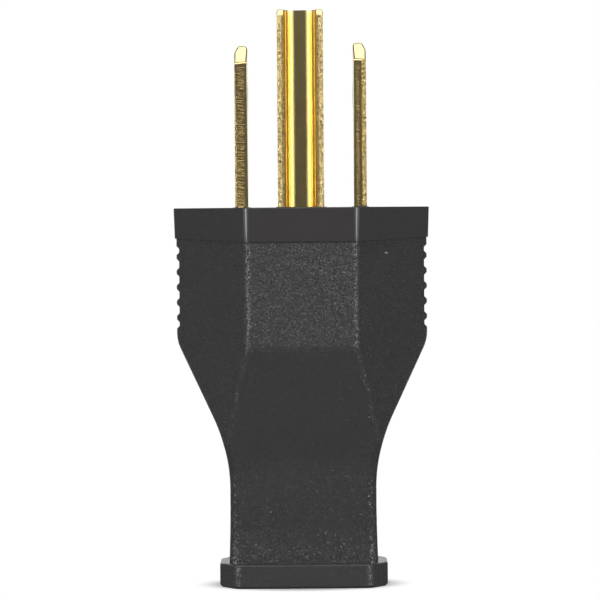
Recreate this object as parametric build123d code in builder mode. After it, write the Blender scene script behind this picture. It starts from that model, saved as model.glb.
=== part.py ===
from build123d import *
import os
from math import radians, tan

# A rewireable grounding plug, standing on its cord collar with its pins up.
# X runs to the neutral side, Y from the ground pin to the blades, Z up along the pins.
# The origin is the centre of the collar's end. All sizes are in millimetres.

# Pins, spaced as in every outlet of this pattern
blade_pitch = 12.7
blade_thickness = 1.4
blade_width = 6.35
blade_length = 17.5
blade_outer_bevel = 0.4
blade_outer_rise = 0.75
blade_inner_bevel = 0.15
blade_inner_rise = 0.3
blade_tip_step = 0.13
blade_tip_corner = 1.8
blade_edge_round = 0.25
blade_hole_radius = 1.6
blade_hole_height = 11.9
ground_offset = 11.9
ground_width = 4.85
ground_depth = 4.7
ground_sheet = 0.75
ground_length = 20.8
ground_back_radius = 2.0
ground_tip_corner = 0.2
ground_leg_corner = 0.6
ground_back_corner = 0.45
blade_line_y = 5.3

# Body outline, as seen from the ground side
face_z = 40.2
flange_thickness = 3.6
seam_rise = 0.35
body_half_width = 13.38
slope_angle = 26.3
slope_foot_z = 14.54
shoulder_radius = 4.0
neck_half_width = 7.73
neck_foot_half_width = 7.95
neck_blend_radius = 17.0
neck_waist_z = 7.4

# Body outline, as seen from the side
body_half_depth = 11.4
front_slope_angle = 20.0
knee_radius = 3.0
neck_top_half_depth = 6.9
neck_top_z = 13.0
neck_half_depth = 5.65
neck_foot_z = 5.3
neck_foot_half_depth = 5.75
front_blend_radius = 14.0
foot_radius = 15.0
neck_side_foot_radius = 150.0

# Body outline, as seen along the pins
front_panel_half_width = 5.8
facet_end_y = 1.0
side_end_y = 8.0
rear_corner_width = 1.6
edge_radius = 1.0

# Collar round the cord's entry
collar_height = 2.55
collar_half_width = 8.9
collar_half_depth = 7.4
collar_front_half_width = 7.25
collar_side_start_y = 3.6
collar_rear_half_width = 7.7
collar_rear_side_y = 3.4
collar_corner = 1.2
collar_edge = 0.25
collar_ledge_edge = 0.2

# Mouldings
wall = 2.0
split_y = 2.4
chamber_floor_z = 15.0
seam_gap_depth = 0.1
seam_gap_height = 0.15
flange_overhang = 0.28
flange_draft = 2.0
flange_edge = 0.12
flange_corner = 1.0
spigot_depth = 4.0
fit_gap = 0.1
pin_gap = 0.08
pad_height = 0.06
pad_margin = 0.2
parting_groove_width = 0.16
parting_groove_depth = 0.12

# Finger grip ribs on both sides
rib_count = 5
rib_pitch = 1.62
rib_width = 0.95
rib_height = 0.3
rib_flank_angle = 45.0
rib_round = 0.13
rib_end_gap = 0.4
rib_top_z = 35.0

# Terminals
tab_outer_x = 10.0
tab_bottom_z = 24.4
tab_corner = 0.8
terminal_z = 27.2
terminal_x = 7.85
terminal_shank_radius = 1.7
terminal_head_radius = 2.05
terminal_head_height = 1.7
clamp_plate_thickness = 1.5
clamp_plate_width = 4.0
clamp_plate_height = 4.6
ground_tab_half_width = 3.1
thread_gap = 0.05
screw_end = 0.3
driver_slot_width = 0.7
driver_slot_depth = 0.7
barrier_thickness = 1.0
barrier_y = -1.1
barrier_bottom_z = 22.9

# Assembly screws and nuts
screw_radius = 1.25
screw_hole_radius = 1.4
screw_head_radius = 1.9
screw_head_height = 1.2
screw_head_round = 0.4
screw_recess_gap = 0.2
upper_screw_x = 9.6
upper_screw_z = 34.6
upper_screw_tip_y = 1.6
upper_recess_depth = 1.3
lug_x = 3.7
lug_width = 2.4
lug_height = 1.4
lug_depth = 0.9
lower_screw_x = 6.6
lower_screw_z = 19.6
lower_screw_seat_y = 6.4
lower_screw_tip_y = -5.2
boss_radius = 2.8
nut_width = 3.8
nut_thickness = 1.6
nut_y = -3.6
cross_slot_width = 0.55
cross_slot_depth = 0.7
cross_slot_length = 2.2

# Cord passage and grip
cord_bore_radius = 4.3
jaw_bore_radius = 3.6
jaw_half_width = 5.8
jaw_back_y = 4.65
jaw_bottom_z = 3.1
jaw_height = 9.4
jaw_parting = 0.25
jaw_groove_depth = 0.4
jaw_groove_width = 1.3
jaw_groove_count = 3
jaw_edge = 0.6

# Places that follow from the sizes above
seam_z = face_z - flange_thickness
spigot_bottom_z = seam_z - spigot_depth
blade_x = blade_pitch / 2
blade_front_y = blade_line_y - blade_width / 2
blade_inner_x = blade_x - blade_thickness / 2
blade_tip_z = face_z + blade_length
tab_rear_y = blade_front_y + blade_thickness
tab_top_z = spigot_bottom_z - fit_gap
ground_y = blade_line_y - ground_offset
ground_back_y = ground_y + ground_width / 2
ground_front_y = ground_back_y - ground_depth
ground_tip_z = face_z + ground_length
upper_seat_y = body_half_depth - upper_recess_depth
parting = Plane.XZ.offset(-split_y)
far = 4 * body_half_width


def closed_half(corners):
    """Draws half an outline from (point, radius) pairs, and its mirror image."""
    points = [point for point, radius in corners]
    radii = [radius for point, radius in corners]
    FilletPolyline(*points, radius=radii[1:-1])
    mirror(about=Plane.YZ)


def plan_section(grow, corner_radius=0):
    """The body across the pins: narrow front panel, two long facets, wide rear panel."""
    with BuildSketch(Plane.XY) as section:
        with BuildLine():
            Polyline(
                (0, -body_half_depth),
                (front_panel_half_width, -body_half_depth),
                (body_half_width, facet_end_y),
                (body_half_width, side_end_y),
                (body_half_width - rear_corner_width, body_half_depth),
                (0, body_half_depth),
            )
            mirror(about=Plane.YZ)
        make_face()
        if grow:
            offset(amount=grow, kind=Kind.INTERSECTION)
        if corner_radius:
            fillet(section.vertices(), corner_radius)
    return section.sketch


def body_form(inset, top_z):
    """The body's outer form, or the space inside it when it is inset by a wall."""
    slope_top_z = slope_foot_z + (body_half_width - neck_half_width) / tan(radians(slope_angle))
    knee_z = neck_top_z + (body_half_depth - neck_top_half_depth) / tan(radians(front_slope_angle))
    front_view = [
        ((0, top_z), 0),
        ((front_panel_half_width, top_z), 0),
        ((body_half_width, top_z + seam_rise), 0),
        ((body_half_width, slope_top_z), shoulder_radius),
        ((neck_half_width, slope_foot_z), neck_blend_radius),
        ((neck_half_width, neck_waist_z), neck_side_foot_radius),
        ((neck_foot_half_width, 0), 0),
        ((0, 0), 0),
    ]
    side_view = [
        ((0, top_z + seam_rise), 0),
        ((body_half_depth, top_z + seam_rise), 0),
        ((body_half_depth, knee_z), knee_radius),
        ((neck_top_half_depth, neck_top_z), front_blend_radius),
        ((neck_half_depth, neck_foot_z), foot_radius),
        ((neck_foot_half_depth, 0), 0),
        ((0, 0), 0),
    ]
    with BuildPart() as form:
        with BuildSketch(Plane.XZ):
            with BuildLine():
                closed_half(front_view)
            make_face()
            if inset:
                offset(amount=-inset)
        extrude(amount=far, both=True)
        with BuildSketch(Plane.YZ):
            with BuildLine():
                closed_half(side_view)
            make_face()
            if inset:
                offset(amount=-inset)
        extrude(amount=far, both=True, mode=Mode.INTERSECT)
        with BuildSketch(Plane.XY):
            add(plan_section(-inset))
        extrude(amount=far, both=True, mode=Mode.INTERSECT)
    return form.part


def collar_plan(inset):
    """The collar's outline, with rounded corners."""
    with BuildSketch(Plane.XY) as plan:
        with BuildLine():
            Polyline(
                (0, -collar_half_depth),
                (collar_front_half_width, -collar_half_depth),
                (collar_half_width, -collar_side_start_y),
                (collar_half_width, collar_rear_side_y),
                (collar_rear_half_width, collar_half_depth),
                (0, collar_half_depth),
            )
            mirror(about=Plane.YZ)
        make_face()
        fillet(plan.vertices(), collar_corner)
        if inset:
            offset(amount=-inset)
    return plan.sketch


# The collar round the cord's entry, with its edges eased
with BuildPart() as collar:
    with BuildSketch(Plane.XY):
        add(collar_plan(0))
    extrude(amount=collar_height)
    fillet(faces().sort_by(Axis.Z)[-1].edges(), collar_ledge_edge)
    chamfer(faces().sort_by(Axis.Z)[0].edges(), collar_edge)

# A fine groove that runs round the body where its two halves meet
with BuildPart() as parting_groove:
    with BuildSketch(Plane.XY):
        with Locations((0, split_y)):
            Rectangle(far, parting_groove_width)
    extrude(amount=seam_z)
    add(body_form(parting_groove_depth, face_z), mode=Mode.SUBTRACT)
    with BuildSketch(Plane.XY):
        add(collar_plan(parting_groove_depth))
    extrude(amount=collar_height - parting_groove_depth, mode=Mode.SUBTRACT)

# The outside of both mouldings, before they are parted and hollowed
with BuildPart() as moulding:
    add(body_form(0, seam_z))
    corner_edges = edges().filter_by(Axis.X, reverse=True).filter_by(Axis.Y, reverse=True)
    fillet(corner_edges.filter_by_position(Axis.Z, 0, seam_z - seam_rise), edge_radius)
    add(collar.part)
    add(parting_groove.part, mode=Mode.SUBTRACT)
    with BuildSketch(Plane.XY.offset(seam_z - seam_gap_height)):
        with Locations((0, -body_half_depth)):
            Rectangle(2 * front_panel_half_width + edge_radius, 2 * seam_gap_depth)
    extrude(amount=seam_gap_height, mode=Mode.SUBTRACT)

# The grip ribs stand in a shallow band cut into each side
with BuildPart() as grip_band:
    with BuildSketch(Plane.XZ) as grip_outline:
        ribs_height = (rib_count - 1) * rib_pitch
        band_height = ribs_height + rib_width + 2 * rib_end_gap
        band_z = rib_top_z - ribs_height / 2
        for side in (-1, 1):
            with Locations((side * body_half_width, band_z)):
                Trapezoid(
                    band_height + 4 * rib_height / tan(radians(rib_flank_angle)),
                    2 * rib_height,
                    rib_flank_angle,
                    rotation=side * 90,
                )
            with Locations((side * (body_half_width - rib_height / 2), band_z)):
                with GridLocations(0, rib_pitch, 1, rib_count):
                    Trapezoid(rib_width, rib_height, rib_flank_angle, rotation=-side * 90, mode=Mode.SUBTRACT)
        crest_corners = grip_outline.vertices().filter_by(
            lambda corner: abs(abs(corner.X) - body_half_width) < fit_gap
        )
        fillet(crest_corners, rib_round)
    extrude(amount=far, both=True)

# The space inside: wiring chamber, cord bore and the pocket of the cord jaws
with BuildPart() as hollow:
    add(body_form(wall, face_z))
    split(bisect_by=Plane.XY.offset(chamber_floor_z), keep=Keep.TOP)
    with BuildSketch(Plane.XZ):
        with Locations((-lower_screw_x, lower_screw_z), (lower_screw_x, lower_screw_z)):
            Circle(boss_radius)
    extrude(amount=far, both=True, mode=Mode.SUBTRACT)
    with BuildSketch(Plane.XY):
        Circle(cord_bore_radius)
    extrude(amount=chamber_floor_z)
    with BuildSketch(Plane.XY.offset(jaw_bottom_z)):
        Rectangle(2 * (jaw_half_width + fit_gap), 2 * (jaw_back_y + fit_gap))
    extrude(amount=jaw_height + fit_gap)


def screw_places(x, z):
    """The two mirrored places of a pair of assembly screws, on an XZ plane."""
    return Locations((-x, z), (x, z))


def catch_lugs(gap):
    """The two lugs that catch the face cap in the front panel, or their pockets."""
    with BuildPart() as lugs:
        with BuildSketch(Plane.XZ.offset(body_half_depth - wall - fit_gap)):
            with Locations((-lug_x, upper_screw_z), (lug_x, upper_screw_z)):
                Rectangle(lug_width + 2 * gap, lug_height + 2 * gap)
        extrude(amount=lug_depth + gap)
    return lugs.part


# The large front half, with the blind holes of the screws and the slots of the nuts
with BuildPart() as front_shell:
    add(moulding.part)
    add(grip_band.part, mode=Mode.SUBTRACT)
    add(hollow.part, mode=Mode.SUBTRACT)
    split(bisect_by=parting, keep=Keep.TOP)
    with BuildSketch(parting):
        with screw_places(lower_screw_x, lower_screw_z):
            Circle(screw_hole_radius)
    extrude(amount=split_y - lower_screw_tip_y + screw_end, mode=Mode.SUBTRACT)
    add(catch_lugs(fit_gap), mode=Mode.SUBTRACT)
    nut_slot_width = lower_screw_x + nut_width / 2 + fit_gap
    with BuildSketch(Plane.XZ.offset(-nut_y)):
        with Locations((0, lower_screw_z)):
            Rectangle(2 * nut_slot_width, nut_width + 2 * fit_gap)
    extrude(amount=nut_thickness / 2 + fit_gap, both=True, mode=Mode.SUBTRACT)

# The rear half, with the recesses of the four screw heads
with BuildPart() as rear_cover:
    add(moulding.part)
    add(grip_band.part, mode=Mode.SUBTRACT)
    add(hollow.part, mode=Mode.SUBTRACT)
    split(bisect_by=parting, keep=Keep.BOTTOM)
    for seat_y, x, z in (
        (upper_seat_y, upper_screw_x, upper_screw_z),
        (lower_screw_seat_y, lower_screw_x, lower_screw_z),
    ):
        with BuildSketch(Plane.XZ.offset(-seat_y)):
            with screw_places(x, z):
                Circle(screw_head_radius + screw_recess_gap)
        extrude(amount=-far, mode=Mode.SUBTRACT)
        with BuildSketch(Plane.XZ.offset(-seat_y)):
            with screw_places(x, z):
                Circle(screw_hole_radius)
        extrude(amount=far, mode=Mode.SUBTRACT)


def ground_section(gap):
    """The U of the ground pin, open to the front, or its slot when it is grown by a gap."""
    with BuildSketch(Plane.XY) as channel:
        with Locations((0, ground_back_y - ground_sheet)):
            Rectangle(ground_width - 2 * ground_sheet, ground_depth, align=(Align.CENTER, Align.MAX))
        fillet(channel.vertices().group_by(Axis.Y)[-1], ground_back_radius - ground_sheet)
    with BuildSketch(Plane.XY) as section:
        with Locations((0, ground_back_y)):
            Rectangle(ground_width, ground_depth, align=(Align.CENTER, Align.MAX))
        fillet(section.vertices().group_by(Axis.Y)[-1], ground_back_radius)
        add(channel.sketch, mode=Mode.SUBTRACT)
        if gap:
            offset(amount=gap, kind=Kind.INTERSECTION)
    return section.sketch


# The face cap: a drafted flange, low pads round the pins, and a spigot inside the body
with BuildPart() as face_cap:
    with BuildSketch(Plane.XY.offset(face_z)):
        add(plan_section(flange_overhang, flange_corner))
    extrude(amount=-flange_thickness, taper=flange_draft)
    fillet(faces().sort_by(Axis.Z)[-1].edges(), flange_edge)
    with BuildSketch(Plane.XZ):
        with BuildLine():
            Polyline(
                (0, seam_z),
                (front_panel_half_width, seam_z),
                (body_half_width, seam_z + seam_rise),
                (far, seam_z + seam_rise),
                (far, 0),
                (0, 0),
            )
            mirror(about=Plane.YZ)
        make_face()
    extrude(amount=far, both=True, mode=Mode.SUBTRACT)
    add(body_form(wall + fit_gap, face_z))
    split(bisect_by=Plane.XY.offset(spigot_bottom_z), keep=Keep.TOP)
    with BuildSketch(Plane.XY.offset(face_z)):
        with Locations((-blade_x, blade_line_y), (blade_x, blade_line_y)):
            Rectangle(blade_thickness + 2 * pad_margin, blade_width + 2 * pad_margin)
        add(ground_section(pad_margin))
    extrude(amount=pad_height)
    with BuildSketch(Plane.XY):
        with Locations((-blade_x, blade_line_y), (blade_x, blade_line_y)):
            Rectangle(blade_thickness + 2 * pin_gap, blade_width + 2 * pin_gap)
        add(ground_section(pin_gap))
    extrude(amount=far, mode=Mode.SUBTRACT)
    with BuildSketch(Plane.XZ.offset(-body_half_depth)):
        with screw_places(upper_screw_x, upper_screw_z):
            Circle(screw_radius + thread_gap)
    extrude(amount=body_half_depth - upper_screw_tip_y + screw_end, mode=Mode.SUBTRACT)
    add(catch_lugs(0))


def flat_blade(side):
    """A flat blade with a bevelled tip; its lower end is folded out into a terminal tab."""
    with BuildPart() as blade:
        bottom_z = tab_top_z - blade_thickness
        tip_z = blade_tip_z + side * blade_tip_step
        with BuildSketch(Plane.YZ.offset(side * blade_x)) as plate:
            with Locations((blade_line_y, (bottom_z + tip_z) / 2)):
                Rectangle(blade_width, tip_z - bottom_z)
            chamfer(plate.vertices().group_by(Axis.Y)[-1], blade_tip_corner)
            with Locations((blade_line_y, face_z + blade_hole_height)):
                Circle(blade_hole_radius, mode=Mode.SUBTRACT)
        extrude(amount=blade_thickness / 2, both=True)
        outer_x = side * (blade_x + blade_thickness / 2)
        inner_x = side * blade_inner_x
        with BuildSketch(Plane.XZ):
            with BuildLine():
                Polyline(
                    (inner_x, bottom_z),
                    (outer_x, bottom_z),
                    (outer_x, tip_z - blade_outer_rise),
                    (outer_x - side * blade_outer_bevel, tip_z),
                    (inner_x + side * blade_inner_bevel, tip_z),
                    (inner_x, tip_z - blade_inner_rise),
                    close=True,
                )
            make_face()
        extrude(amount=far, both=True, mode=Mode.INTERSECT)
        inner_edges = blade.edges().filter_by(Axis.Z).filter_by(
            lambda edge: abs(edge.center().X) < blade_x
        )
        fillet(inner_edges, blade_edge_round)
        with BuildSketch(Plane.XZ.offset(-blade_front_y)):
            tab_middle_x = (blade_inner_x + tab_outer_x) / 2
            with Locations((side * tab_middle_x, (tab_bottom_z + tab_top_z) / 2)):
                Rectangle(tab_outer_x - blade_inner_x, tab_top_z - tab_bottom_z)
            fillet(vertices(), tab_corner)
            with Locations((side * terminal_x, terminal_z)):
                Circle(terminal_shank_radius + thread_gap, mode=Mode.SUBTRACT)
        extrude(amount=-blade_thickness)
    return blade.part


# The ground pin: a sheet folded into a U, flattened below the cap into a wider tab
with BuildPart() as ground_pin:
    with BuildSketch(Plane.XY.offset(tab_top_z - ground_sheet)):
        add(ground_section(0))
    extrude(amount=ground_tip_z - tab_top_z + ground_sheet)
    with BuildSketch(Plane.XZ) as ground_front_view:
        with Locations((0, ground_tip_z / 2)):
            Rectangle(ground_width, ground_tip_z)
        chamfer(ground_front_view.vertices().group_by(Axis.Y)[-1], ground_tip_corner)
    extrude(amount=far, both=True, mode=Mode.INTERSECT)
    with BuildSketch(Plane.YZ) as ground_side_view:
        with Locations(((ground_front_y + ground_back_y) / 2, ground_tip_z / 2)):
            Rectangle(ground_depth, ground_tip_z)
        front_corner = ground_side_view.vertices().group_by(Axis.Y)[-1].sort_by(Axis.X)[0]
        chamfer(front_corner, ground_leg_corner)
        back_corner = ground_side_view.vertices().group_by(Axis.Y)[-1].sort_by(Axis.X)[-1]
        chamfer(back_corner, ground_back_corner)
    extrude(amount=far, both=True, mode=Mode.INTERSECT)
    with BuildSketch(Plane.XZ.offset(-ground_back_y)) as ground_tab:
        with Locations((0, (tab_bottom_z + tab_top_z) / 2)):
            Rectangle(2 * ground_tab_half_width, tab_top_z - tab_bottom_z)
        fillet(ground_tab.vertices(), tab_corner)
        with Locations((0, terminal_z)):
            Circle(terminal_shank_radius + thread_gap, mode=Mode.SUBTRACT)
    extrude(amount=ground_sheet)

# The insulating wall that keeps the three terminals apart
with BuildPart() as terminal_barrier:
    with BuildSketch(Plane.XY.offset(barrier_bottom_z)):
        with Locations((0, barrier_y)):
            Rectangle(far, barrier_thickness)
            Rectangle(barrier_thickness, far, align=(Align.CENTER, Align.MIN))
    extrude(amount=tab_top_z - barrier_bottom_z)
    add(body_form(wall + fit_gap, face_z), mode=Mode.INTERSECT)


def screw(x, z, seat_y, tip_y, radius, head):
    """A pan-headed screw along Y, its head towards the rear, resting on seat_y."""
    head_radius, head_height, slot_length, slot_width, slot_depth, cross = head
    with BuildPart() as fastener:
        with BuildSketch(Plane.XZ.offset(-seat_y)):
            with Locations((x, z)):
                Circle(head_radius)
        extrude(amount=-head_height)
        fillet(faces().sort_by(Axis.Y)[-1].edges(), screw_head_round)
        with BuildSketch(Plane.XZ.offset(-seat_y)):
            with Locations((x, z)):
                Circle(radius)
        extrude(amount=seat_y - tip_y)
        chamfer(faces().sort_by(Axis.Y)[0].edges(), screw_end)
        with BuildSketch(Plane.XZ.offset(-seat_y - head_height)):
            with Locations((x, z)):
                Rectangle(slot_length, slot_width)
                if cross:
                    Rectangle(slot_width, slot_length)
        extrude(amount=slot_depth, mode=Mode.SUBTRACT)
    return fastener.part


def terminal_screw(x, seat_y, sheet):
    """A slotted binding screw that pulls its clamp plate against the terminal tab."""
    head = (
        terminal_head_radius,
        terminal_head_height,
        2 * terminal_head_radius,
        driver_slot_width,
        driver_slot_depth,
        False,
    )
    tip_y = seat_y - sheet - clamp_plate_thickness - screw_end
    return screw(x, terminal_z, seat_y, tip_y, terminal_shank_radius, head)


def cover_screw(x, z, seat_y, tip_y):
    """A small cross-recessed screw that holds the rear cover."""
    head = (
        screw_head_radius,
        screw_head_height,
        cross_slot_length,
        cross_slot_width,
        cross_slot_depth,
        True,
    )
    return screw(x, z, seat_y, tip_y, screw_radius, head)


def tapped_plate(x, z, rear_y, width, height, thickness, bore_radius):
    """A flat plate lying in the XZ plane, with one tapped hole along Y."""
    with BuildPart() as plate:
        with BuildSketch(Plane.XZ.offset(-rear_y)) as plate_face:
            with Locations((x, z)):
                Rectangle(width, height)
            chamfer(plate_face.vertices(), screw_end)
            with Locations((x, z)):
                Circle(bore_radius, mode=Mode.SUBTRACT)
        extrude(amount=thickness)
    return plate.part


def clamp_plate(x, rear_y):
    """The wire clamp plate behind a terminal tab."""
    bore_radius = terminal_shank_radius + thread_gap
    return tapped_plate(
        x, terminal_z, rear_y, clamp_plate_width, clamp_plate_height, clamp_plate_thickness, bore_radius
    )


def square_nut(x):
    """A square nut caught in the slot of a front shell boss."""
    rear_y = nut_y + nut_thickness / 2
    bore_radius = screw_radius + thread_gap
    return tapped_plate(x, lower_screw_z, rear_y, nut_width, nut_width, nut_thickness, bore_radius)


def cord_jaw(side):
    """Half of the ribbed grip that the two mouldings close on the cord; side is -1 in front."""
    with BuildPart() as jaw:
        middle_y = side * (jaw_back_y + jaw_parting) / 2
        with BuildSketch(Plane.XY.offset(jaw_bottom_z)) as jaw_plan:
            with Locations((0, middle_y)):
                Rectangle(2 * jaw_half_width, jaw_back_y - jaw_parting)
            chamfer(jaw_plan.vertices(), jaw_edge)
        extrude(amount=jaw_height)
        with BuildSketch(Plane.XY.offset(jaw_bottom_z)):
            Circle(jaw_bore_radius)
        extrude(amount=jaw_height, mode=Mode.SUBTRACT)
        groove_pitch = jaw_height / jaw_groove_count
        for index in range(jaw_groove_count):
            groove_z = jaw_bottom_z + index * groove_pitch + (groove_pitch - jaw_groove_width) / 2
            with BuildSketch(Plane.XY.offset(groove_z)):
                Circle(jaw_bore_radius + jaw_groove_depth)
            extrude(amount=jaw_groove_width, mode=Mode.SUBTRACT)
    return jaw.part


ground_tab_front_y = ground_back_y - ground_sheet
pieces = {
    "front_shell": front_shell.part,
    "rear_cover": rear_cover.part,
    "face_cap": face_cap.part,
    "line_blade": flat_blade(-1),
    "neutral_blade": flat_blade(1),
    "ground_pin": ground_pin.part,
    "terminal_barrier": terminal_barrier.part,
    "line_terminal_screw": terminal_screw(-terminal_x, tab_rear_y, blade_thickness),
    "neutral_terminal_screw": terminal_screw(terminal_x, tab_rear_y, blade_thickness),
    "ground_terminal_screw": terminal_screw(0, ground_back_y, ground_sheet),
    "line_clamp_plate": clamp_plate(-terminal_x, blade_front_y),
    "neutral_clamp_plate": clamp_plate(terminal_x, blade_front_y),
    "ground_clamp_plate": clamp_plate(0, ground_tab_front_y),
    "front_cord_jaw": cord_jaw(-1),
    "rear_cord_jaw": cord_jaw(1),
    "upper_left_screw": cover_screw(-upper_screw_x, upper_screw_z, upper_seat_y, upper_screw_tip_y),
    "upper_right_screw": cover_screw(upper_screw_x, upper_screw_z, upper_seat_y, upper_screw_tip_y),
    "lower_left_screw": cover_screw(-lower_screw_x, lower_screw_z, lower_screw_seat_y, lower_screw_tip_y),
    "lower_right_screw": cover_screw(lower_screw_x, lower_screw_z, lower_screw_seat_y, lower_screw_tip_y),
    "left_nut": square_nut(-lower_screw_x),
    "right_nut": square_nut(lower_screw_x),
}

os.makedirs("parts", exist_ok=True)
for name, part in pieces.items():
    part.label = name
    export_step(part, f"parts/{name}.step")
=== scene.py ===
"""Grounded plug: finishes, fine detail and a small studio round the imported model.

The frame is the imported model's: Z up along the pins, and the ground pin towards the camera.
Lengths are in metres, but surface patterns and geometry trees are worked out in millimetres.
"""

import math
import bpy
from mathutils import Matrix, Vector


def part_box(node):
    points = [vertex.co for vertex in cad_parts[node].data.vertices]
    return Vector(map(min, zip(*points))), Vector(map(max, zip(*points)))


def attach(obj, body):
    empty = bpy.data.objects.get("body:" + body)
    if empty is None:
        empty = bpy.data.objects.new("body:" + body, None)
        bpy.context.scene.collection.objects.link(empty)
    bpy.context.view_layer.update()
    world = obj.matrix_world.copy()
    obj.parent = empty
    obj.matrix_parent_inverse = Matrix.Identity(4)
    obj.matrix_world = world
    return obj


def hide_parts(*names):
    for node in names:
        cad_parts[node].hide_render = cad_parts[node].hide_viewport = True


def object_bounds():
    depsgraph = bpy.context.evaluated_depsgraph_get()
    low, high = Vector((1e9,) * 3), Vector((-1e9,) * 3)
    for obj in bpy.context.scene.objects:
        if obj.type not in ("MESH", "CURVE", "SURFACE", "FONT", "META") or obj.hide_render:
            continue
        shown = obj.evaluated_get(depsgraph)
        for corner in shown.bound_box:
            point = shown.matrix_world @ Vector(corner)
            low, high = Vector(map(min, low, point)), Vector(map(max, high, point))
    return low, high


bl_info = {
    "name": "Grounded plug",
    "version": (1, 0, 0),
    "blender": (4, 5, 0),
    "location": "3D View > Sidebar > Plug",
    "description": "Moulded plastic, stamped brass and a product studio for a grounded plug",
    "category": "Object",
}

import bmesh
import bpy
from mathutils import Matrix, Vector

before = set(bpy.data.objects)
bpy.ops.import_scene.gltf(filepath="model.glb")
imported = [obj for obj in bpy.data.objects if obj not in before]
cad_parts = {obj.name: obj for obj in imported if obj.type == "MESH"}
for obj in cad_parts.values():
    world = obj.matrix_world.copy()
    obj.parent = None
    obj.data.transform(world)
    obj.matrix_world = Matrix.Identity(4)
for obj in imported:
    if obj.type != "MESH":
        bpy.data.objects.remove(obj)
cad_low, cad_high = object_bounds()

MM = 0.001
MIDDLE = (cad_low + cad_high) / 2
WELD = 0.001 * MM
WHITE = (1.0, 1.0, 1.0, 1.0)

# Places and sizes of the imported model, in millimetres
PARTING_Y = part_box("rear_cover")[0].y / MM
GROUND_LOW, GROUND_HIGH = (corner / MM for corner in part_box("ground_pin"))
GROUND_PIN_WIDTH = 4.85
PIN_FOOT_Z = 40.3
BLADE_THICKNESS = 1.4
COLLAR_TOP_Z = 2.4
# A small pale fleck in the plastic of the right facet
FLECK_X, FLECK_Z = 8.95, 35.35

# Screws: radius of the shank and height of the head
TERMINAL_SHANK, TERMINAL_HEAD = 1.7 * MM, 1.7 * MM
COVER_SHANK, COVER_HEAD = 1.25 * MM, 1.2 * MM
# Width of the bevel on the edges of clamp plates and nuts
METAL_EASE = 0.08 * MM

# Terminal screws: terminal, slot and colour
TERMINALS = (
    ("line", "brass_screw", (0.80, 0.58, 0.22)),
    ("neutral", "plated_screw", (0.70, 0.69, 0.66)),
    ("ground", "green_screw", (0.06, 0.30, 0.11)),
)
# Colours of the other hidden pieces
PLATE_ZINC = (0.62, 0.62, 0.60)
NUT_STEEL = (0.60, 0.60, 0.58)
SCREW_STEEL = (0.58, 0.58, 0.57)
BARRIER_BLACK = (0.05, 0.05, 0.05)
JAW_GREY = (0.10, 0.10, 0.10)

# Sheared edges of the pins: share of the thickness that the punch rounds over before it cuts, how
# close a surface is to the cut face where it counts as cut, and the height of a shear mark, in mm
ROUNDED_SHARE = 0.18
CUT_NEAR, CUT_FAR = 0.02, 0.05
MARK_HEIGHT = 0.03

# A face of a pin's slanting tip has a normal whose Z lies between these
SLANT_LOW, SLANT_HIGH = 0.3, 0.9

# Edges between faces that turn by more than this, in degrees, are shaded sharp, or are eased
SHARP_DEGREES = 32.0
EASED_DEGREES = 30.0

# Camera: the picture in pixels, the sensor in millimetres, and the depth that it sees
PICTURE = 600
SENSOR = 36.0
CLIP_START, CLIP_END = 0.05, 20.0

# Light panels on each side of the camera: name, azimuth and elevation in degrees, distance,
# width, height, and brightness in shares of that side's setting
SIDE_PANELS = (
    ("inner panel", 34.0, 16.0, 0.65, 0.33, 0.44, 0.42),
    ("outer panel", 67.0, 16.0, 0.65, 0.46, 0.44, 0.6),
    ("strip", 48.0, 13.0, 0.63, 0.20, 0.40, 3.2),
)
# The panel above the camera: azimuth, elevation, distance, width and height
FRONT_PANEL = (0.0, 23.0, 0.65, 0.46, 0.19)
# The square panel overhead: its place from the middle of the plug, and its side
TOP_PANEL_PLACE = Vector((0.0, -0.08, 0.65))
TOP_PANEL_SIZE = 0.5

# The floor: half its side, and how far from the plug, in millimetres, its shadow turns to white
FLOOR_HALF = 4.0
SHADOW_FULL, SHADOW_GONE = 7.5, 12.0

# What metal and glass see: white where a direction's Y is large, on the floor as well past some
# distance in millimetres, half white high above, and dim elsewhere. DIM_LIGHT lights the plug.
BACKDROP_EDGE, BACKDROP_FULL = 0.84, 0.96
FLOOR_NEAR, FLOOR_FAR = 60.0, 120.0
CEILING_EDGE, CEILING_FULL, CEILING_WHITE = 0.55, 0.95, 0.5
DIM_FLOOR, DIM_WALLS, DIM_LIGHT = 0.08, 0.075, 0.20


class Value:
    """A socket of a node tree that takes part in Python expressions."""

    def __init__(self, graph, socket):
        self.graph = graph
        self.socket = socket

    def math(self, operation, *others, clamp=False):
        values = dict(enumerate((self,) + others))
        settings = {"operation": operation, "use_clamp": clamp}
        return self.graph.node("ShaderNodeMath", settings, values)

    def also(self, name):
        """Another output of the node that this value comes from."""
        return Value(self.graph, self.socket.node.outputs[name])

    def __add__(self, other):
        return self.math("ADD", other)

    def __sub__(self, other):
        return self.math("SUBTRACT", other)

    def __mul__(self, other):
        return self.math("MULTIPLY", other)

    def __truediv__(self, other):
        return self.math("DIVIDE", other)

    def __rsub__(self, other):
        return (self * -1.0) + other

    def __abs__(self):
        return self.math("ABSOLUTE")

    __radd__ = __add__
    __rmul__ = __mul__

    def above(self, low, high):
        """0 below low, 1 above high, and a smooth rise between them."""
        settings = {"interpolation_type": "SMOOTHSTEP"}
        inputs = {"Value": self, "From Min": low, "From Max": high}
        return self.graph.node("ShaderNodeMapRange", settings, inputs)

    def below(self, low, high):
        """1 below low, 0 above high, and a smooth fall between them."""
        return 1.0 - self.above(low, high)

    def within(self, middle, half, soft):
        """1 within half of middle, and 0 past a soft border outside it."""
        return abs(self - middle).below(half, half + soft)

    def clamped(self):
        return self.math("ADD", 0.0, clamp=True)


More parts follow.
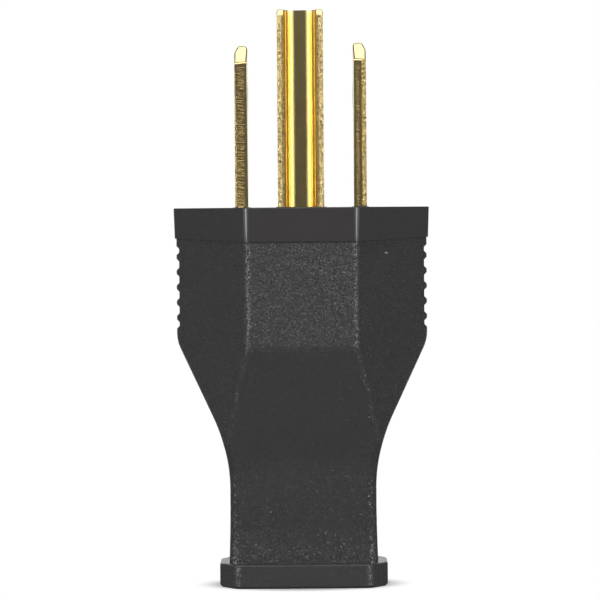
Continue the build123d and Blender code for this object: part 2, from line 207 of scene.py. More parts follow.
class Graph:
    """A node tree that is filled by calls."""

    def __init__(self, tree):
        self.tree = tree

    def node(self, kind, settings=None, inputs=None, output=0):
        """Adds any node, and gives one of its outputs, if it has any."""
        made = self.tree.nodes.new(kind)
        for name, setting in (settings or {}).items():
            setattr(made, name, setting)
        for name, value in (inputs or {}).items():
            self.feed(made, name, value)
        return Value(self, made.outputs[output]) if len(made.outputs) else None

    def feed(self, made, name, value):
        """Links a value to a node's input, or sets the input to a constant."""
        if isinstance(value, Value):
            self.tree.links.new(value.socket, made.inputs[name])
        else:
            made.inputs[name].default_value = value

    def vector_math(self, operation, *vectors, output=0):
        settings = {"operation": operation}
        return self.node("ShaderNodeVectorMath", settings, dict(enumerate(vectors)), output)

    def split(self, vector):
        """The three parts of a vector or a colour."""
        x = self.node("ShaderNodeSeparateXYZ", None, {"Vector": vector})
        return x, x.also("Y"), x.also("Z")

    def joined(self, x, y, z):
        return self.node("ShaderNodeCombineXYZ", None, {"X": x, "Y": y, "Z": z})

    def rays(self):
        """Masks of the rays from the camera, and of those that metal and glass send on."""
        seen = self.node("ShaderNodeLightPath", output="Is Camera Ray")
        mirrored = (seen.also("Is Glossy Ray") + seen.also("Is Transmission Ray")).clamped()
        return seen, mirrored


class Finish(Graph):
    """A material with one Principled shader and coordinates in millimetres."""

    def __init__(self, name, metallic=0.0, ior=1.5):
        self.material = bpy.data.materials.new(name)
        self.material.use_nodes = True
        super().__init__(self.material.node_tree)
        self.shader = next(n for n in self.tree.nodes if n.type == "BSDF_PRINCIPLED")
        self.shader.inputs["Metallic"].default_value = metallic
        self.shader.inputs["IOR"].default_value = ior
        place = self.node("ShaderNodeTexCoord", output="Object")
        self.place = self.scaled(place, (1 / MM, 1 / MM, 1 / MM))
        self.x, self.y, self.z = self.split(self.place)

    def scaled(self, vector, factors):
        return self.vector_math("MULTIPLY", vector, factors)

    def noise(self, size, stretch=(1.0, 1.0, 1.0), detail=2.0, roughness=0.5):
        """Noise from 0 to 1 whose spots are about size millimetres across."""
        vector = self.scaled(self.place, tuple(s / size for s in stretch))
        inputs = {"Vector": vector, "Scale": 1.0, "Detail": detail, "Roughness": roughness}
        return self.node("ShaderNodeTexNoise", None, inputs)

    def cells(self, size, output):
        """The place in units of size millimetres, and random cells about one unit across."""
        place = self.scaled(self.place, (1 / size,) * 3)
        inputs = {"Vector": place, "Scale": 1.0}
        return place, self.node("ShaderNodeTexVoronoi", None, inputs, output)

    def facets(self, size, slope):
        """Height, in millimetres, of random facets about size across that lean by up to slope."""
        place, center = self.cells(size, "Position")
        lean = self.vector_math("SUBTRACT", center.also("Color"), (0.5, 0.5, 0.5))
        away = self.vector_math("SUBTRACT", place, center)
        tilt = self.vector_math("DOT_PRODUCT", away, lean, output="Value")
        steep = self.vector_math("LENGTH", lean, output="Value")
        return tilt * steep * (4.0 * slope * size)

    def specks(self, size, share, reach):
        """Sparse round specks: share of the cells hold one, reach is its radius in cell sizes."""
        _, color = self.cells(size, "Color")
        red, _, _ = self.split(color)
        chosen = red.above(1 - share, 1 - share / 2)
        return chosen * color.also("Distance").below(reach / 2, reach)

    def layered(self, base, layers):
        """A base colour under layers, each a mask, its strength, a colour and its brightness."""
        color = rgb(base)
        for mask, strength, tone, factor in layers:
            # 6, 7 and 2 are the sockets of a Mix node that hold colours
            inputs = {"Factor": mask * strength, 6: color, 7: shade(tone, factor)}
            color = self.node("ShaderNodeMix", {"data_type": "RGBA"}, inputs, output=2)
        return color

    def bump(self, height, distance):
        """The normal of a surface on which a height of 1 stands for distance millimetres."""
        inputs = {"Height": height, "Distance": distance * MM, "Strength": 1.0}
        return self.node("ShaderNodeBump", None, inputs)

    def finish(self, color, roughness, normal=None):
        self.feed(self.shader, "Base Color", color)
        self.feed(self.shader, "Roughness", roughness)
        if normal is not None:
            self.feed(self.shader, "Normal", normal)
        return self.material


def rgb(color):
    return (*color, 1.0)


def shade(color, factor):
    return (*(channel * factor for channel in color), 1.0)


def around(middle, noise, spread):
    """A value that noise from 0 to 1 varies round its middle, over spread in all."""
    return noise * spread + (middle - spread / 2)


class PlasticSettings(bpy.types.PropertyGroup):
    """The black moulded plastic of the housing."""

    color: bpy.props.FloatVectorProperty(
        name="Colour", description="Colour of the black plastic", subtype="COLOR",
        default=(0.0370, 0.0347, 0.0358)
    )
    ior: bpy.props.FloatProperty(
        name="IOR", description="Index of refraction of the black plastic", default=1.56
    )
    grain: bpy.props.FloatProperty(
        name="Grain", description="Width of the sparkling grain on the body", unit="LENGTH",
        default=0.115 * MM
    )
    grain_slope: bpy.props.FloatProperty(
        name="Grain slope", description="Rise of the steepest facets of the grain to their run",
        default=0.22
    )
    body_roughness: bpy.props.FloatProperty(
        name="Body roughness", description="Roughness of the grained body", default=0.24
    )
    face_roughness: bpy.props.FloatProperty(
        name="Face roughness", description="Roughness of the smooth face cap", default=0.17
    )


class BrassSettings(bpy.types.PropertyGroup):
    """The stamped brass of the pins."""

    color: bpy.props.FloatVectorProperty(
        name="Colour", description="Colour of clean brass", subtype="COLOR",
        default=(0.91, 0.73, 0.34)
    )
    tarnish: bpy.props.FloatVectorProperty(
        name="Tarnish", description="Colour of the dull patches", subtype="COLOR",
        default=(0.56, 0.38, 0.13)
    )
    roughness: bpy.props.FloatProperty(
        name="Roughness", description="Roughness of the rolled faces", default=0.18
    )
    shear_pitch: bpy.props.FloatProperty(
        name="Shear marks", description="Spacing of the shear marks on cut edges", unit="LENGTH",
        default=0.16 * MM
    )
    edge_ease: bpy.props.FloatProperty(
        name="Eased edges", description="Width of the bevel on the stamped edges", unit="LENGTH",
        default=0.05 * MM
    )
    tip_round: bpy.props.FloatProperty(
        name="Rounded tips", description="Width of the rounding round the blades' slanting tips",
        unit="LENGTH", default=0.20 * MM
    )


class ThreadSettings(bpy.types.PropertyGroup):
    """The threads of all seven screws."""

    pitch: bpy.props.FloatProperty(
        name="Pitch", description="Rise of the thread in one turn", unit="LENGTH", default=0.8 * MM
    )
    depth: bpy.props.FloatProperty(
        name="Depth", description="From the crest to the root of the thread", unit="LENGTH",
        default=0.22 * MM
    )


class StudioSettings(bpy.types.PropertyGroup):
    """Camera and lamps."""

    distance: bpy.props.FloatProperty(
        name="Distance", description="From the camera to the plug's axis", unit="LENGTH",
        default=0.540
    )
    eye_height: bpy.props.FloatProperty(
        name="Eye height", description="Height of the lens", unit="LENGTH", default=0.0396
    )
    pixels_per_mm: bpy.props.FloatProperty(
        name="Scale", description="Picture pixels to a millimetre at the plug's axis", default=9.371
    )
    horizon_row: bpy.props.FloatProperty(
        name="Horizon", description="Picture row that lies at eye height", default=213.0
    )
    axis_column: bpy.props.FloatProperty(
        name="Axis", description="Picture column of the plug's axis at mid height", default=301.9
    )
    roll: bpy.props.FloatProperty(
        name="Roll", description="Turn of the camera about its line of sight", subtype="ANGLE",
        default=math.radians(0.45)
    )
    left_radiance: bpy.props.FloatProperty(
        name="Left panels", description="Brightness of the left light panels", default=1.8
    )
    right_radiance: bpy.props.FloatProperty(
        name="Right panels", description="Brightness of the right light panels", default=1.7
    )
    front_radiance: bpy.props.FloatProperty(
        name="Front panel", description="Brightness of the light panel above the camera",
        default=2.2
    )
    top_radiance: bpy.props.FloatProperty(
        name="Top panel", description="Brightness of the overhead light panel", default=1.3
    )


def grained_plastic(settings):
    """Black plastic from a spark-eroded mould: its fine grain glitters where light grazes it, and
    sparse specks painted brighter in its colour add painted glints.
    """
    look = Finish("grained black plastic", ior=settings.ior)
    grain = settings.grain / MM
    fine = look.noise(grain * 2.0, roughness=0.6)
    clouds = look.noise(6.0)
    # Painted glints: sparse specks whose colour is painted brighter, as a stand-in for sparkle;
    # they are also made smoother
    painted_glints = look.specks(grain * 1.3, share=0.30, reach=0.42)
    seam = look.y.within(PARTING_Y, 0.03, 0.03)
    fleck = look.x.within(FLECK_X, 0.12, 0.08) * look.z.within(FLECK_Z, 0.05, 0.06)
    color = look.layered(settings.color, (
        (clouds.above(0.35, 0.7), 0.25, settings.color, 1.15),
        (painted_glints, 0.5, settings.color, 1.6),
        (seam, 0.8, settings.color, 0.2),
        (fleck * look.y.below(0.0, 0.1), 0.8, settings.color, 9.0),
    ))
    roughness = around(settings.body_roughness, fine, spread=0.16) - painted_glints * 0.10
    # The collar's grain is half as deep, and the parting line is a groove
    depth = 1.0 - 0.5 * look.z.below(COLLAR_TOP_Z, COLLAR_TOP_Z + 0.3)
    height = (look.facets(grain, settings.grain_slope) + fine * 0.012) * depth - seam * 0.03
    return look.finish(color, roughness.clamped(), look.bump(height, distance=1.0))


def smooth_plastic(settings):
    """The face cap's smooth satin plastic, with faint waves, hairline scuffs and some dust."""
    look = Finish("smooth black plastic", ior=settings.ior)
    clouds = look.noise(5.0)
    waves = look.noise(1.6, detail=3.0, roughness=0.45)
    scuffs = look.noise(0.9, (0.25, 0.25, 6.0), detail=4.0, roughness=0.7).above(0.62, 0.74)
    dust = look.specks(0.5, share=0.06, reach=0.16)
    color = look.layered(settings.color, (
        (clouds.above(0.3, 0.75), 0.2, settings.color, 1.1),
        (dust, 0.4, settings.color, 2.5),
    ))
    roughness = around(settings.face_roughness, clouds, spread=0.06) + scuffs * 0.03
    normal = look.bump(waves * 0.6 + scuffs * 0.02, distance=0.010)
    return look.finish(color, roughness.clamped(), normal)


def stamped_brass(name, settings, sheared, torn):
    """Rolled brass. sheared and torn give the masks of its cut faces, and of their rough part."""
    look = Finish(name, metallic=1.0)
    streaks = look.noise(0.10, (1.0, 1.0, 0.04), detail=3.0, roughness=0.6)
    patches = look.noise(1.4, (1.0, 1.0, 0.5), detail=3.0)
    ticks = look.noise(settings.shear_pitch / MM, (0.2, 0.2, 1.6), roughness=0.7)
    crumbs = look.noise(0.17, detail=3.0, roughness=0.7)
    cut = sheared(look)
    rough = cut * torn(look)
    burnished = cut - rough
    color = look.layered(settings.color, (
        (patches.above(0.5, 0.8), 0.3, settings.tarnish, 1.0),
        (burnished, 0.45 + 0.5 * ticks.above(0.35, 0.65), settings.tarnish, 0.75),
        (rough * crumbs.above(0.42, 0.60), 0.8, settings.tarnish, 0.55),
    ))
    roughness = around(settings.roughness, streaks, spread=0.08) + burnished * 0.06
    roughness = roughness + rough * 0.20 * crumbs
    height = streaks * 0.13 * (1.0 - cut) + burnished * ticks * 0.6
    height = height + rough * (crumbs * 1.6 + look.facets(0.2, slope=0.6) * 8.0)
    return look.finish(color, roughness.clamped(), look.bump(height, distance=0.045))


def turned_metal(name, color, roughness=0.3):
    """Plated or bright turned metal, with fine ring marks."""
    look = Finish(name, metallic=1.0)
    rings = look.noise(0.22, (1.0, 3.0, 1.0), detail=3.0, roughness=0.6)
    patches = look.noise(0.9).above(0.35, 0.75)
    tone = look.layered(color, ((patches, 0.5, color, 0.72),))
    normal = look.bump(rings, distance=0.012)
    return look.finish(tone, around(roughness, rings, spread=0.16), normal)


def inner_plastic(name, color, roughness=0.5):
    """The plain moulded plastic of the inner pieces."""
    look = Finish(name)
    fine = look.noise(0.3, detail=3.0)
    tone = look.layered(color, ((look.noise(3.0), 0.5, color, 1.4),))
    normal = look.bump(fine, distance=0.015)
    return look.finish(tone, around(roughness, fine, spread=0.2), normal)


def surface_of(node, tip_round):
    """A welded copy of a CAD node, smooth over its rounded edges, its slanting tips rounded."""
    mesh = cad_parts[node].data.copy()
    mesh.name = node + "_surface"
    if "custom_normal" in mesh.attributes:
        mesh.attributes.remove(mesh.attributes["custom_normal"])
    work = bmesh.new()
    work.from_mesh(mesh)
    bmesh.ops.remove_doubles(work, verts=work.verts, dist=WELD)
    flat = math.radians(0.3)
    bmesh.ops.dissolve_limit(work, angle_limit=flat, verts=work.verts, edges=work.edges)
    if tip_round:
        round_tip(work, tip_round)
    limit = math.radians(SHARP_DEGREES)
    for face in work.faces:
        face.smooth = True
    for edge in work.edges:
        edge.smooth = edge.is_manifold and edge.calc_face_angle(0.0) < limit
    work.to_mesh(mesh)
    work.free()
    return mesh


def round_tip(work, width):
    """Rounds the rims of a pin's slanting tip faces, without raising the pin's top."""
    least_area = MM * MM / 5
    short_edge = 0.08 * MM
    slanting = [face for face in work.faces if is_slanting(face) and face.calc_area() > least_area]
    foot = min(vertex.co.z for face in slanting for vertex in face.verts) - 2 * width
    top = max(vertex.co.z for vertex in work.verts)
    # A cut below the tip keeps the mending of its short edges, and the bevel, off the long faces
    everything = work.verts[:] + work.edges[:] + work.faces[:]
    bmesh.ops.bisect_plane(
        work, geom=everything, dist=WELD, plane_co=(0, 0, foot), plane_no=(0, 0, 1)
    )
    short = [
        edge for edge in work.edges
        if edge.calc_length() < short_edge and min(v.co.z for v in edge.verts) > foot + width
    ]
    bmesh.ops.collapse(work, edges=short)
    rims = set()
    for face in work.faces:
        if is_slanting(face) and min(edge.calc_length() for edge in face.edges) > width:
            rims.update(face.edges)
    bmesh.ops.bevel(
        work, geom=list(rims), offset=width, segments=3, profile=0.5, affect="EDGES",
        clamp_overlap=False,
    )
    for vertex in work.verts:
        vertex.co.z = min(vertex.co.z, top)


def is_slanting(face):
    return SLANT_LOW < face.normal.z < SLANT_HIGH


def made_plain(piece):
    """Turns a piece with its modifiers into a plain mesh."""
    graph = bpy.context.evaluated_depsgraph_get()
    mesh = bpy.data.meshes.new_from_object(piece.evaluated_get(graph), depsgraph=graph)
    piece.modifiers.clear()
    piece.data = mesh
    return mesh


def linked_object(name, data):
    made = bpy.data.objects.new(name, data)
    bpy.context.scene.collection.objects.link(made)
    return made


def stand_in(node, material, ease=0.0, tip_round=0.0, alter=None):
    """Shows a dressed copy of the node in its place; alter may add to or change its mesh."""
    mesh = surface_of(node, tip_round)
    mesh.materials.clear()
    mesh.materials.append(material)
    piece = linked_object(node + "_surface", mesh)
    if ease:
        rounding = piece.modifiers.new("eased edges", "BEVEL")
        rounding.width = ease
        rounding.segments = 2
        rounding.limit_method = "ANGLE"
        rounding.angle_limit = math.radians(EASED_DEGREES)
    flat = piece.modifiers.new("flat faces", "WEIGHTED_NORMAL")
    flat.weight = 100
    flat.keep_sharp = True
    made_plain(piece)
    if alter:
        alter(piece)
    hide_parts(node)
    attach(piece, "root")


def grown(tree, sizes):
    """The plain mesh that a geometry tree makes of these sizes."""
    holder = linked_object(tree.name, bpy.data.meshes.new(tree.name))
    modifier = holder.modifiers.new(tree.name, "NODES")
    modifier.node_group = tree
    sockets = [item for item in tree.interface.items_tree if item.in_out == "INPUT"]
    identifiers = {socket.name: socket.identifier for socket in sockets}
    for name, size in sizes.items():
        modifier[identifiers[name]] = size
    mesh = made_plain(holder)
    bpy.data.objects.remove(holder)
    return mesh


def geometry_tree(name, inputs):
    """A geometry tree with these named inputs, and the inputs as values."""
    tree = bpy.data.node_groups.new(name, "GeometryNodeTree")
    for title, (kind, default) in inputs.items():
        socket = tree.interface.new_socket(title, in_out="INPUT", socket_type=kind)
        socket.default_value = default
    tree.interface.new_socket("Geometry", in_out="OUTPUT", socket_type="NodeSocketGeometry")
    graph = Graph(tree)
    first = graph.node("NodeGroupInput")
    return graph, {title: first.also(title) for title in inputs}


def finish_tree(graph, geometry, material):
    """Ends a geometry tree in real, dressed geometry."""
    real = graph.node("GeometryNodeRealizeInstances", None, {"Geometry": geometry})
    inputs = {"Geometry": real, "Material": material}
    dressed = graph.node("GeometryNodeSetMaterial", None, inputs)
    graph.node("NodeGroupOutput", None, {"Geometry": dressed})
    return graph.tree


def thread_tree(material):
    """A closed, threaded rod along Z: a grid rolled round the axis, its radius on a helix."""
    graph, size = geometry_tree("screw thread", {
        "Radius": ("NodeSocketFloat", 1.0),
        "Depth": ("NodeSocketFloat", 0.2),
        "Pitch": ("NodeSocketFloat", 0.8),
        "Length": ("NodeSocketFloat", 8.0),
        "Rings": ("NodeSocketInt", 80),
    })
    grid = graph.node("GeometryNodeMeshGrid", None, {
        "Size X": 1.0, "Size Y": 1.0, "Vertices X": 25, "Vertices Y": size["Rings"],
    })
    x, y, _ = graph.split(graph.node("GeometryNodeInputPosition"))
    u, v = x + 0.5, y + 0.5
    along = v * size["Length"]
    turn = (along / size["Pitch"] - u).math("FRACT")
    crest = abs(turn - 0.5) * 2.0
    # The thread runs out over its first and last turn, and the end rings shrink to a point
    from_end = (size["Length"] - along) / size["Pitch"]
    fade = (along / size["Pitch"]).math("MINIMUM", from_end).math("MINIMUM", 1.0)
    inside = abs(v - 0.5).math("LESS_THAN", 0.4999)
    radius = inside * (size["Radius"] - size["Depth"] * (1.0 - crest * fade))
    angle = u * (2 * math.pi)
    place = graph.joined(radius * angle.math("COSINE"), radius * angle.math("SINE"), along)
    rolled = graph.node("GeometryNodeSetPosition", None, {"Geometry": grid, "Position": place})
    inputs = {"Geometry": rolled, "Distance": WELD}
    welded = graph.node("GeometryNodeMergeByDistance", None, inputs)
    return finish_tree(graph, welded, material)


def shear_mark_tree(material):
    """A column of small uneven ridges along Z, as a punch leaves them on a cut edge."""
    graph, size = geometry_tree("shear marks", {
        "Count": ("NodeSocketInt", 100),
        "Pitch": ("NodeSocketFloat", 0.16),
        "Width": ("NodeSocketFloat", 0.4),
        "Height": ("NodeSocketFloat", 0.02),
        "Seed": ("NodeSocketInt", 1),
    })
    step = graph.joined(0.0, 0.0, size["Pitch"])
    inputs = {"Count": size["Count"], "Offset": step}
    line = graph.node("GeometryNodeMeshLine", {"mode": "OFFSET"}, inputs)
    # 2 and 3 are the sockets of a Random Value node for the range of a single number
    inputs = {2: -0.5, 3: 0.5, "Seed": size["Seed"]}
    chance = graph.node("FunctionNodeRandomValue", {"data_type": "FLOAT"}, inputs, output=1)
    shift = graph.joined(chance * size["Width"] * 0.3, 0.0, chance * size["Pitch"] * 0.5)
    moved = graph.node("GeometryNodeSetPosition", None, {"Geometry": line, "Offset": shift})
    radius = size["Pitch"] * 0.3
    ridge = graph.node("GeometryNodeMeshCylinder", None, {
        "Vertices": 12, "Radius": radius, "Depth": size["Width"],
    })
    stretch = graph.joined(1.0 + chance * 0.6, size["Height"] / radius, 0.85 - abs(chance))
    ridges = graph.node("GeometryNodeInstanceOnPoints", None, {
        "Points": moved, "Instance": ridge, "Rotation": (0.0, math.pi / 2, 0.0), "Scale": stretch,
    })
    return finish_tree(graph, ridges, material)


def add_mesh(piece, mesh, matrix):
    """Joins a mesh, moved by a matrix, to a piece."""
    work = bmesh.new()
    work.from_mesh(mesh)
    bmesh.ops.transform(work, matrix=matrix, verts=work.verts)
    bmesh.ops.recalc_face_normals(work, faces=work.faces)
    work.from_mesh(piece.data)
    work.to_mesh(piece.data)
    work.free()


class PLUG_OT_housing(bpy.types.Operator):
    """Finish the two mouldings and the face cap"""

    bl_idname = "plug.housing"
    bl_label = "Housing"

    def execute(self, context):
        settings = context.scene.plug_plastic
        body = grained_plastic(settings)
        for node in ("front_shell", "rear_cover"):
            stand_in(node, body)
        stand_in("face_cap", smooth_plastic(settings))
        return {"FINISHED"}


class PLUG_OT_pins(bpy.types.Operator):
    """Finish the blades and the ground pin, with their sheared edges"""

    bl_idname = "plug.pins"
    bl_label = "Pins"

    def execute(self, context):
        settings = context.scene.plug_brass
        for node, burnished_share in (("line_blade", 0.85), ("neutral_blade", 0.40)):
            self.blade(node, burnished_share, settings)
        self.ground_pin(settings)
        return {"FINISHED"}

    def blade(self, node, burnished_share, settings):
        """A blade, cut from its inner side: rounded over, then burnished, then torn."""
        low, high = (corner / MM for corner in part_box(node))
        side = 1.0 if low.x > 0 else -1.0
        rounded = min(abs(low.x), abs(high.x)) + BLADE_THICKNESS * ROUNDED_SHARE
        band = BLADE_THICKNESS * (1.0 - ROUNDED_SHARE) * burnished_share
        border = rounded + band

        def sheared(look):
            above_face = look.z.above(PIN_FOOT_Z, PIN_FOOT_Z + 0.1)
            return look.y.below(low.y + CUT_NEAR, low.y + CUT_FAR) * above_face

        def torn(look):
            ragged = look.x * side + look.noise(0.35) * 0.3
            return ragged.above(border + 0.13, border + 0.2)

        brass = stamped_brass(node + " brass", settings, sheared, torn)
        place = Vector((side * (rounded + band / 2), low.y, PIN_FOOT_Z))
        top = high.z - 2.2

        def add_marks(piece):
            self.add_marks(piece, brass, place, top, band, settings, seed=int(3 + side))

        stand_in(node, brass, settings.edge_ease, settings.tip_round, add_marks)

    def ground_pin(self, settings):
        """The folded pin, cut along both walls, which tore at their outer sides."""
        front = GROUND_LOW.y
        half = GROUND_PIN_WIDTH / 2

        def sheared(look):
            return look.y.below(front + CUT_NEAR, front + CUT_FAR)

        def torn(look):
            return (abs(look.x) + look.noise(0.3) * 0.3).above(half - 0.35, half - 0.25)

        brass = stamped_brass("ground pin brass", settings, sheared, torn)
        top = GROUND_HIGH.z - 1.0
        width = 0.28

        def add_marks(piece):
            for side in (-1.0, 1.0):
                place = Vector((side * (half - 0.55), front, PIN_FOOT_Z))
                self.add_marks(piece, brass, place, top, width, settings, seed=int(7 + side))

        thin_round = settings.tip_round * 0.6
        stand_in("ground_pin", brass, settings.edge_ease, thin_round, add_marks)

    def add_marks(self, piece, brass, place, top, width, settings, seed):
        """Sets a column of shear marks into a cut face, from place up to the height top."""
        pitch = settings.shear_pitch / MM
        mesh = grown(shear_mark_tree(brass), {
            "Count": int((top - place.z) / pitch),
            "Pitch": pitch,
            "Width": width,
            "Height": MARK_HEIGHT,
            "Seed": seed,
        })
        add_mesh(piece, mesh, Matrix.Scale(MM, 4) @ Matrix.Translation(place))


class PLUG_OT_terminals(bpy.types.Operator):
    """Finish the terminal screws, the clamp plates and the wall between them"""

    bl_idname = "plug.terminals"
    bl_label = "Terminals"

    def execute(self, context):
        stand_in("terminal_barrier", inner_plastic("barrier plastic", BARRIER_BLACK))
        plated = turned_metal("zinc plate", PLATE_ZINC, 0.34)
        for side, slot, color in TERMINALS:
            metal = turned_metal(side + " screw metal", color)
            screw = side + "_terminal_screw"
            threaded_screw(context, screw, metal, TERMINAL_SHANK, TERMINAL_HEAD)
            stand_in(side + "_clamp_plate", plated, METAL_EASE)
        return {"FINISHED"}


class PLUG_OT_fasteners(bpy.types.Operator):
    """Finish the four cover screws and their nuts"""

    bl_idname = "plug.fasteners"
    bl_label = "Fasteners"

    def execute(self, context):
        steel = turned_metal("screw steel", SCREW_STEEL)
        for corner in ("upper_left", "upper_right", "lower_left", "lower_right"):
            screw = corner + "_screw"
            threaded_screw(context, screw, steel, COVER_SHANK, COVER_HEAD)
        plated = turned_metal("nut steel", NUT_STEEL, 0.36)
        for node in ("left_nut", "right_nut"):
            stand_in(node, plated, METAL_EASE)
        return {"FINISHED"}


def threaded_screw(context, node, metal, shank, head):
    """A screw whose plain shank gives way to a threaded one of the same width."""
    settings = context.scene.plug_threads
    low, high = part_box(node)
    axis = (low + high) / 2
    seat = high.y - head
    length = seat - low.y

    def add_thread(piece):
        # The plain shank shrinks into the thread's core
        shrink = (0.3 * shank + settings.depth) / shank
        for vertex in piece.data.vertices:
            across = Vector((vertex.co.x - axis.x, 0.0, vertex.co.z - axis.z))
            if vertex.co.y < seat - WELD and across.length < shank + WELD:
                vertex.co -= across * shrink
        mesh = grown(thread_tree(metal), {
            "Radius": shank / MM,
            "Depth": settings.depth / MM,
            "Pitch": settings.pitch / MM,
            "Length": length / MM,
            "Rings": int(8 * length / settings.pitch),
        })
        placed = Matrix.Translation((axis.x, seat, axis.z)) @ Matrix.Rotation(math.pi / 2, 4, "X")
        add_mesh(piece, mesh, placed @ Matrix.Scale(MM, 4))

    stand_in(node, metal, alter=add_thread)


class PLUG_OT_cord_grip(bpy.types.Operator):
    """Finish the two jaws that hold the cord"""

    bl_idname = "plug.cord_grip"
    bl_label = "Cord grip"

    def execute(self, context):
        jaw = inner_plastic("jaw plastic", JAW_GREY, 0.55)
        for node in ("front_cord_jaw", "rear_cord_jaw"):
            stand_in(node, jaw)
        return {"FINISHED"}


def pale_floor():
    """A pale floor that keeps the plug's shadow and fades to white around it."""
    look = Finish("pale floor")
    seen, mirrored = look.rays()
    spread = look.vector_math("LENGTH", look.scaled(look.place, (1, 1, 0)), output="Value")
    behind = (look.y / spread).above(BACKDROP_EDGE, BACKDROP_FULL)
    behind = behind * spread.above(FLOOR_NEAR, FLOOR_FAR)
    glow = seen + mirrored * (DIM_FLOOR + (1.0 - DIM_FLOOR) * behind)
    white = look.node("ShaderNodeEmission", None, {"Color": WHITE, "Strength": glow})
    tone = look.noise(30.0) * 0.02 + 0.80
    look.finish(look.joined(tone, tone, tone), 0.6)
    fade = (seen * spread.above(SHADOW_FULL, SHADOW_GONE) + mirrored).clamped()
    pale = Value(look, look.shader.outputs[0])
    mixed = look.node("ShaderNodeMixShader", None, {"Fac": fade, 1: pale, 2: white})
    output = next(n for n in look.tree.nodes if n.type == "OUTPUT_MATERIAL")
    look.feed(output, "Surface", mixed)
    return look.material


def studio_world():
    """White to the camera; metal sees it white behind the plug and above, and dim elsewhere."""
    world = bpy.data.worlds.new("studio")
    world.use_nodes = True
    graph = Graph(world.node_tree)
    graph.tree.nodes.clear()
    seen, mirrored = graph.rays()
    _, y, z = graph.split(graph.node("ShaderNodeTexCoord", output="Generated"))
    backdrop = y.above(BACKDROP_EDGE, BACKDROP_FULL)
    ceiling = z.above(CEILING_EDGE, CEILING_FULL) * CEILING_WHITE
    in_metal = (backdrop + ceiling + DIM_WALLS).math("MINIMUM", 1.0)
    strength = seen + (1.0 - seen) * (mirrored * in_metal + (1.0 - mirrored) * DIM_LIGHT)
    inputs = {"Color": WHITE, "Strength": strength}
    background = graph.node("ShaderNodeBackground", None, inputs)
    graph.node("ShaderNodeOutputWorld", None, {"Surface": background})
    return world


def light_panel(name, radiance, width, height, place):
    """A soft panel whose face has this radiance, turned to the middle of the plug."""
    data = bpy.data.lights.new(name, "AREA")
    data.shape = "RECTANGLE"
    data.size = width
    data.size_y = height
    data.energy = radiance * math.pi * width * height
    lamp = linked_object(name, data)
    lamp.location = place
    lamp.rotation_mode = "QUATERNION"
    lamp.rotation_quaternion = (MIDDLE - place).to_track_quat("-Z", "Y")
    lamp.visible_camera = False


def angled_panel(name, radiance, azimuth, elevation, distance, width, height):
    """A panel at these angles, in degrees, from the line between the plug and the camera."""
    turn, rise = math.radians(azimuth), math.radians(elevation)
    level = math.cos(rise)
    direction = Vector((math.sin(turn) * level, -math.cos(turn) * level, math.sin(rise)))
    place = MIDDLE + direction * distance
    light_panel(f"{name} {azimuth:+.0f}", radiance, width, height, place)


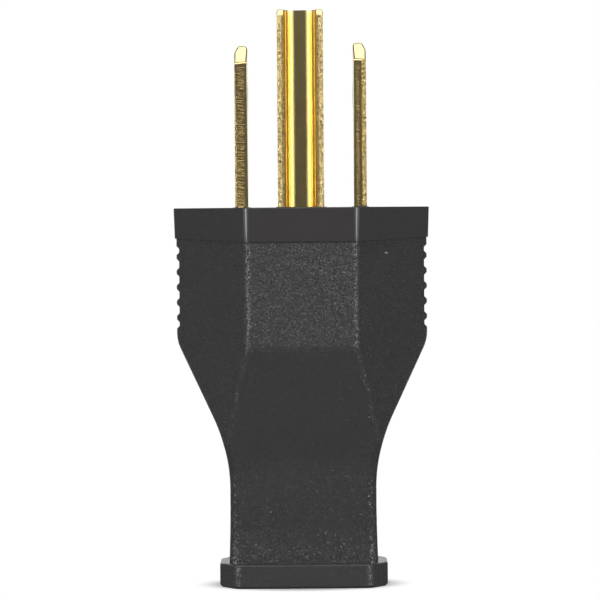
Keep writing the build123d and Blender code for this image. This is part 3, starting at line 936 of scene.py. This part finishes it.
class PLUG_OT_studio(bpy.types.Operator):
    """Lay the pale floor and set the lamps, the world and the camera"""

    bl_idname = "plug.studio"
    bl_label = "Studio"

    def execute(self, context):
        settings = context.scene.plug_studio
        self.lay_floor()
        context.scene.world = studio_world()
        self.set_lamps(settings)
        self.set_camera(context, settings)
        context.scene.view_settings.view_transform = "Standard"
        return {"FINISHED"}

    def lay_floor(self):
        half = FLOOR_HALF
        corners = [(-half, -half, 0), (half, -half, 0), (half, half, 0), (-half, half, 0)]
        mesh = bpy.data.meshes.new("floor")
        mesh.from_pydata(corners, [], [(0, 1, 2, 3)])
        mesh.materials.append(pale_floor())
        floor = linked_object("floor", mesh)

    def set_lamps(self, settings):
        for side, radiance in ((-1, settings.left_radiance), (1, settings.right_radiance)):
            for name, azimuth, elevation, distance, width, height, share in SIDE_PANELS:
                angled_panel(
                    name, radiance * share, side * azimuth, elevation, distance, width, height
                )
        angled_panel("front panel", settings.front_radiance, *FRONT_PANEL)
        size = TOP_PANEL_SIZE
        light_panel("top panel", settings.top_radiance, size, size, MIDDLE + TOP_PANEL_PLACE)

    def set_camera(self, context, settings):
        data = bpy.data.cameras.new("camera")
        camera = linked_object("camera", data)
        focal_pixels = settings.pixels_per_mm * settings.distance / MM
        data.sensor_width = SENSOR
        data.lens = focal_pixels * SENSOR / PICTURE
        data.clip_start = CLIP_START
        data.clip_end = CLIP_END
        tilt = math.atan((PICTURE / 2 - settings.horizon_row) / focal_pixels)
        swing = math.atan((PICTURE / 2 - settings.axis_column) / focal_pixels)
        turn = Matrix.Rotation(-swing, 4, "Z") @ Matrix.Rotation(math.pi / 2 - tilt, 4, "X")
        turn = turn @ Matrix.Rotation(-settings.roll, 4, "Z")
        place = Matrix.Translation((0.0, -settings.distance, settings.eye_height))
        camera.matrix_world = place @ turn
        context.scene.camera = camera


class PLUG_PT_panel(bpy.types.Panel):
    """Lists the plug's steps and settings in the sidebar"""

    bl_idname = "PLUG_PT_panel"
    bl_label = "Grounded plug"
    bl_space_type = "VIEW_3D"
    bl_region_type = "UI"
    bl_category = "Plug"

    def draw(self, context):
        column = self.layout.column()
        for operator in OPERATORS:
            column.operator(operator.bl_idname)
        for name in SETTINGS:
            group = getattr(context.scene, name)
            for prop in group.bl_rna.properties:
                if prop.identifier not in ("name", "rna_type"):
                    column.prop(group, prop.identifier)


SETTINGS = {
    "plug_plastic": PlasticSettings,
    "plug_brass": BrassSettings,
    "plug_threads": ThreadSettings,
    "plug_studio": StudioSettings,
}
OPERATORS = (
    PLUG_OT_housing,
    PLUG_OT_pins,
    PLUG_OT_terminals,
    PLUG_OT_fasteners,
    PLUG_OT_cord_grip,
    PLUG_OT_studio,
)


def register():
    for made in (*SETTINGS.values(), *OPERATORS, PLUG_PT_panel):
        bpy.utils.register_class(made)
    for name, group in SETTINGS.items():
        setattr(bpy.types.Scene, name, bpy.props.PointerProperty(type=group))


def unregister():
    for name in SETTINGS:
        delattr(bpy.types.Scene, name)
    for made in (PLUG_PT_panel, *OPERATORS, *SETTINGS.values()):
        bpy.utils.unregister_class(made)


def main():
    register()
    for operator in OPERATORS:
        area, name = operator.bl_idname.split(".")
        getattr(getattr(bpy.ops, area), name)()


if __name__ == "__main__":
    main()
